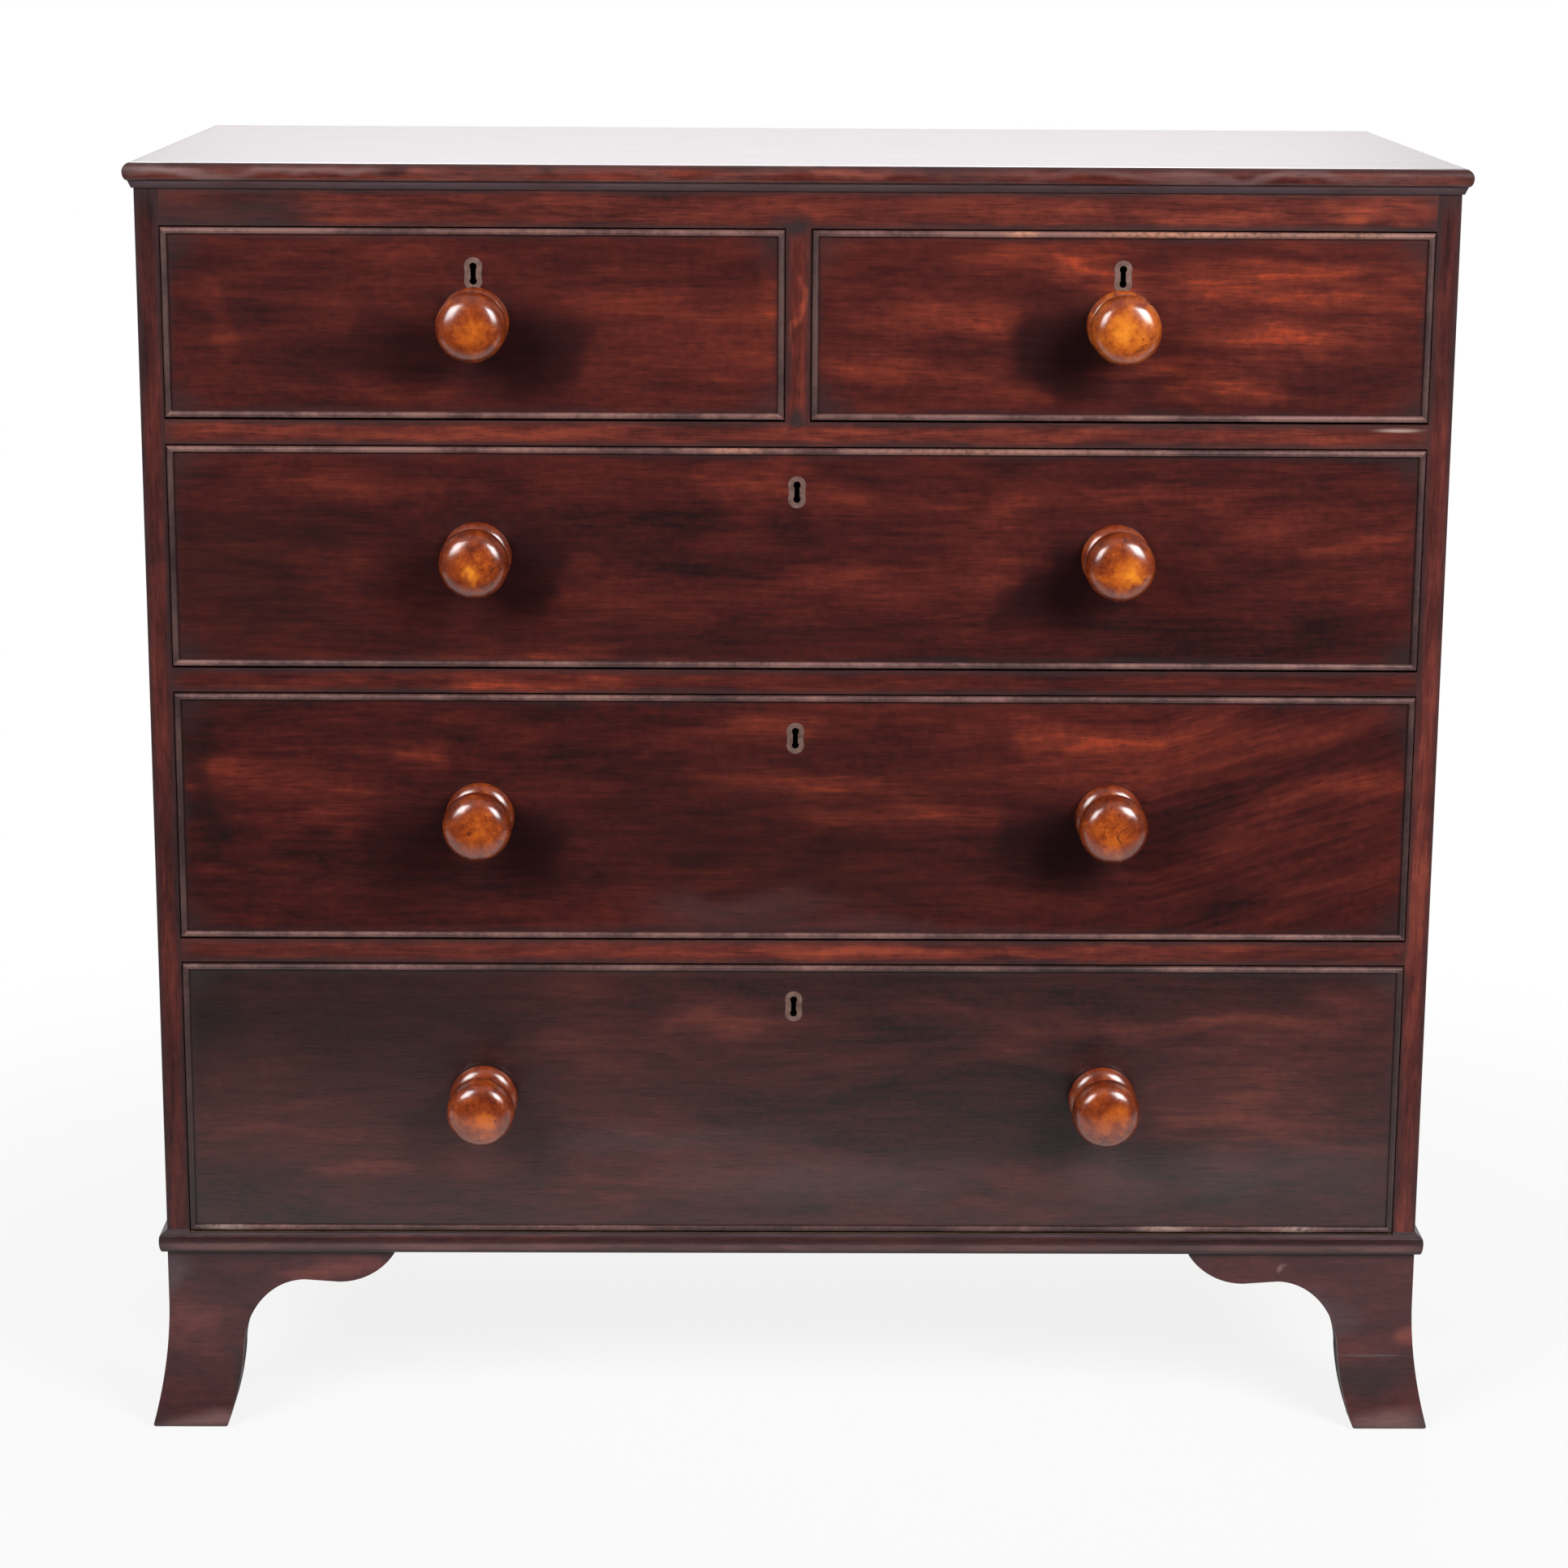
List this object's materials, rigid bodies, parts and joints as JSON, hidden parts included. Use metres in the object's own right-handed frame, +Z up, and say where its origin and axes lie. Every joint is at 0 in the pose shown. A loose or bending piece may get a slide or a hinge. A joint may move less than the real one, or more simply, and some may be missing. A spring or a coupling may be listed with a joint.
{
  "type": "chest of drawers",
  "caption": "Free-standing mahogany chest: short drawers over graduated long drawers that slide out, turned knobs, locks with sliding bolts, moulded top and splayed bracket feet.",
  "frame": {"origin": "on the floor under the middle of the overall box", "axes": "+X to the right, +Y to the back, +Z up"},
  "size_m": [1.068, 0.554, 1.0485],
  "materials": {
    "case_mahogany": "dark red-brown mahogany, worn french polish",
    "front_mahogany": "dark figured mahogany, polished, grimy at the edges",
    "cockbead": "paler mahogany bead, rubbed along its crown",
    "knob_wood": "orange-brown figured wood, glossy polish",
    "oak": "bare aged oak",
    "pine": "bare aged softwood",
    "brass": "dull aged brass",
    "iron": "dark worn iron"
  },
  "bodies": {
    "carcase": {"top": "case_mahogany", "side_left": "case_mahogany", "side_right": "case_mahogany", "bottom_board": "pine", "back_boards": "pine", "top_rail": "case_mahogany", "upper_rail": "case_mahogany", "middle_rail": "case_mahogany", "lower_rail": "case_mahogany", "drawer_divider": "case_mahogany", "side_runners": "pine", "centre_runner": "pine", "kickers": "pine", "drawer_stops": "oak", "base_moulding": "case_mahogany", "foot_front_left": "case_mahogany", "foot_front_right": "case_mahogany", "foot_rear_left": "case_mahogany", "foot_rear_right": "case_mahogany", "foot_blocks": "pine"},
    "short_left_drawer": {"short_left_drawer_front": "front_mahogany", "short_left_drawer_sides": "oak", "short_left_drawer_back": "oak", "short_left_drawer_bottom": "oak", "short_left_drawer_cockbeads": "cockbead", "short_left_drawer_knobs": "knob_wood", "short_left_drawer_lock": "brass"},
    "short_right_drawer": {"short_right_drawer_front": "front_mahogany", "short_right_drawer_sides": "oak", "short_right_drawer_back": "oak", "short_right_drawer_bottom": "oak", "short_right_drawer_cockbeads": "cockbead", "short_right_drawer_knobs": "knob_wood", "short_right_drawer_lock": "brass"},
    "upper_drawer": {"upper_drawer_front": "front_mahogany", "upper_drawer_sides": "oak", "upper_drawer_back": "oak", "upper_drawer_bottom": "oak", "upper_drawer_cockbeads": "cockbead", "upper_drawer_knobs": "knob_wood", "upper_drawer_lock": "brass"},
    "middle_drawer": {"middle_drawer_front": "front_mahogany", "middle_drawer_sides": "oak", "middle_drawer_back": "oak", "middle_drawer_bottom": "oak", "middle_drawer_cockbeads": "cockbead", "middle_drawer_knobs": "knob_wood", "middle_drawer_lock": "brass"},
    "lower_drawer": {"lower_drawer_front": "front_mahogany", "lower_drawer_sides": "oak", "lower_drawer_back": "oak", "lower_drawer_bottom": "oak", "lower_drawer_cockbeads": "cockbead", "lower_drawer_knobs": "knob_wood", "lower_drawer_lock": "brass"},
    "short_left_drawer_bolt": {"short_left_drawer_lock_bolt": "iron"},
    "short_right_drawer_bolt": {"short_right_drawer_lock_bolt": "iron"},
    "upper_drawer_bolt": {"upper_drawer_lock_bolt": "iron"},
    "middle_drawer_bolt": {"middle_drawer_lock_bolt": "iron"},
    "lower_drawer_bolt": {"lower_drawer_lock_bolt": "iron"}
  },
  "joints": [
    {"name": "short_left_drawer_slide", "type": "slide", "parent": "carcase", "child": "short_left_drawer", "axis": [0, -1, 0], "range_m": [0, 0.36]},
    {"name": "short_right_drawer_slide", "type": "slide", "parent": "carcase", "child": "short_right_drawer", "axis": [0, -1, 0], "range_m": [0, 0.36]},
    {"name": "upper_drawer_slide", "type": "slide", "parent": "carcase", "child": "upper_drawer", "axis": [0, -1, 0], "range_m": [0, 0.36]},
    {"name": "middle_drawer_slide", "type": "slide", "parent": "carcase", "child": "middle_drawer", "axis": [0, -1, 0], "range_m": [0, 0.36]},
    {"name": "lower_drawer_slide", "type": "slide", "parent": "carcase", "child": "lower_drawer", "axis": [0, -1, 0], "range_m": [0, 0.36]},
    {"name": "short_left_drawer_bolt_slide", "type": "slide", "parent": "short_left_drawer", "child": "short_left_drawer_bolt", "axis": [0, 0, 1], "range_m": [0, 0.008]},
    {"name": "short_right_drawer_bolt_slide", "type": "slide", "parent": "short_right_drawer", "child": "short_right_drawer_bolt", "axis": [0, 0, 1], "range_m": [0, 0.008]},
    {"name": "upper_drawer_bolt_slide", "type": "slide", "parent": "upper_drawer", "child": "upper_drawer_bolt", "axis": [0, 0, 1], "range_m": [0, 0.008]},
    {"name": "middle_drawer_bolt_slide", "type": "slide", "parent": "middle_drawer", "child": "middle_drawer_bolt", "axis": [0, 0, 1], "range_m": [0, 0.008]},
    {"name": "lower_drawer_bolt_slide", "type": "slide", "parent": "lower_drawer", "child": "lower_drawer_bolt", "axis": [0, 0, 1], "range_m": [0, 0.008]}
  ]
}
